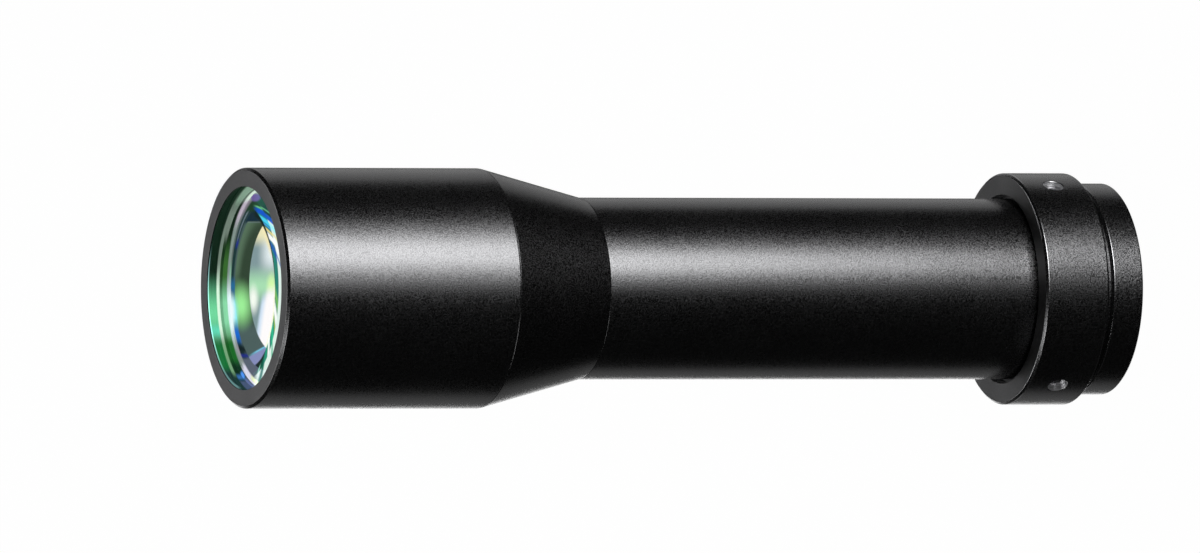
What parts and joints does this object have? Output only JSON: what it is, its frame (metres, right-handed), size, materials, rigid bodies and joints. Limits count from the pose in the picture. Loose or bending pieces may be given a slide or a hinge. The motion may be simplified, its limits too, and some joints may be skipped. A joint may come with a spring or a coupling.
{
  "type": "telecentric lens",
  "caption": "Telecentric machine-vision lens: wide front barrel, taper, long plain tube, clamp ring with radial set screws and a threaded camera mount at the rear.",
  "frame": {"origin": "centre of the rear face, the camera end, at the bottom of the part", "axes": "+Z along the optical axis from the camera end to the front glass, up as the lens stands on its camera end; +X is the top of the picture's picture and -Y faces its camera"},
  "size_m": [0.06, 0.06, 0.2325],
  "materials": {
    "satin_black": "black anodised aluminium, fine bead-blasted satin",
    "matt_black": "matt black anodised inner parts",
    "coated_glass": "polished glass with a green antireflection coating",
    "clear_glass": "polished glass with a green-blue antireflection coating",
    "screw_steel": "plain steel set screws"
  },
  "bodies": {
    "lens_body": {"front_barrel": "satin_black", "front_flint_lens": "coated_glass", "front_crown_lens": "clear_glass", "front_spacer": "matt_black", "front_singlet_lens": "clear_glass", "front_retaining_ring": "matt_black", "taper_housing": "satin_black", "taper_baffle": "matt_black", "main_tube": "satin_black", "aperture_stop": "matt_black", "stop_sleeve": "matt_black", "rear_baffle": "matt_black", "baffle_sleeve": "matt_black", "front_baffle": "matt_black", "stack_retaining_ring": "matt_black", "rear_cell": "matt_black", "rear_crown_lens": "clear_glass", "rear_flint_lens": "clear_glass", "rear_spacer": "matt_black", "rear_singlet_lens": "coated_glass", "cell_retaining_ring": "matt_black", "cell_lock_ring": "matt_black"},
    "mount": {"clamp_ring": "satin_black", "camera_mount": "satin_black", "set_screws": "screw_steel"}
  },
  "joints": [
    {"name": "mount_rotation", "type": "hinge", "parent": "lens_body", "child": "mount", "pos_m": [0, 0, 0.0189], "axis": [0, 0, 1], "continuous": true}
  ]
}
